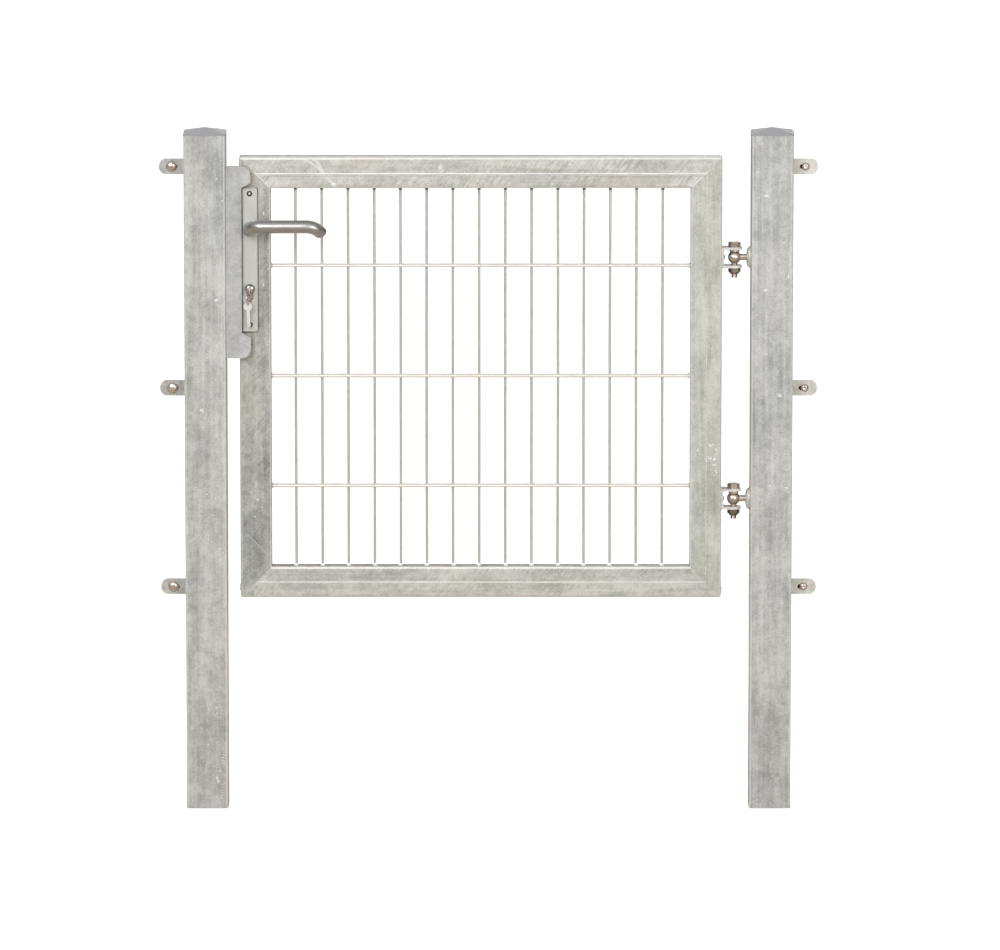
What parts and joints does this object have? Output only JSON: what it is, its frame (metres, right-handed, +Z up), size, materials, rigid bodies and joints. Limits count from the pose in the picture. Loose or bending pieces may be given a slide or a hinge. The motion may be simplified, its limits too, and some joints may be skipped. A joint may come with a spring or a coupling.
{
  "type": "mesh garden gate",
  "caption": "Single garden gate: galvanised tube leaf with welded wire mesh between two square posts, with a lever, a profile cylinder lock and adjustable hinges.",
  "frame": {"origin": "centre of the hinge post's foot", "axes": "+Z up along the posts, -X towards the lock post, -Y the front with the stop plate, +Y the side the leaf opens to"},
  "size_m": [1.256, 0.167, 1.3125],
  "materials": {
    "galvanised_steel": "hot-dip galvanised, mottled light grey with white spots and a matt sheen",
    "stop_plate_zinc": "hot-dip galvanised, smooth bluish grey",
    "mesh_wire": "hot-dip galvanised wire, light grey",
    "grey_plastic": "matt mid-grey moulded plastic",
    "stainless_steel": "bright stainless, slightly warm",
    "satin_aluminium": "satin anodised",
    "lock_case_steel": "zinc-plated sheet",
    "nickel": "nickel-plated brass, satin",
    "buffer_rubber": "black rubber"
  },
  "bodies": {
    "posts": {"lock_post": "galvanised_steel", "hinge_post": "galvanised_steel", "lock_post_cap": "grey_plastic", "hinge_post_cap": "grey_plastic", "lock_post_lugs": "galvanised_steel", "hinge_post_lugs": "galvanised_steel", "round_head_screws": "stainless_steel", "button_head_screws": "stainless_steel", "fence_screw_nuts": "stainless_steel", "lock_keep": "stop_plate_zinc", "stop_buffers": "buffer_rubber", "upper_hinge_boss": "galvanised_steel", "lower_hinge_boss": "galvanised_steel", "upper_eye_bolt": "stainless_steel", "lower_eye_bolt": "stainless_steel", "hinge_washers": "stainless_steel"},
    "gate": {"top_rail": "galvanised_steel", "bottom_rail": "galvanised_steel", "lock_stile": "galvanised_steel", "hinge_stile": "galvanised_steel", "mesh_mat": "mesh_wire", "upper_hinge_bracket": "galvanised_steel", "lower_hinge_bracket": "galvanised_steel", "upper_hinge_bolt": "stainless_steel", "lower_hinge_bolt": "stainless_steel", "upper_hinge_nut": "stainless_steel", "lower_hinge_nut": "stainless_steel", "lock_forend": "stainless_steel", "lock_case": "lock_case_steel", "front_escutcheon": "satin_aluminium", "back_escutcheon": "satin_aluminium", "back_knob": "satin_aluminium", "lock_cylinder": "nickel", "key": "nickel", "key_ring": "stainless_steel", "spare_key": "nickel"},
    "handle": {"front_lever": "satin_aluminium", "spindle": "stainless_steel"},
    "latch": {"latch_bolt": "stainless_steel"}
  },
  "joints": [
    {"name": "gate_swing", "type": "hinge", "parent": "posts", "child": "gate", "pos_m": [-0.071, 0, 0.83], "axis": [0, 0, -1], "range_deg": [0, 90]},
    {"name": "handle_turn", "type": "hinge", "parent": "gate", "child": "handle", "pos_m": [-0.995, 0, 1.12], "axis": [0, 1, 0], "range_deg": [0, 40], "stiffness_Nm_per_rad": 3, "springref_deg": -34.38},
    {"name": "latch_slide", "type": "slide", "parent": "gate", "child": "latch", "axis": [1, 0, 0], "range_m": [0, 0.015]}
  ],
  "couplings": [
    {"joint": "latch_slide", "follows": "handle_turn", "m_per_rad": 0.0214}
  ]
}
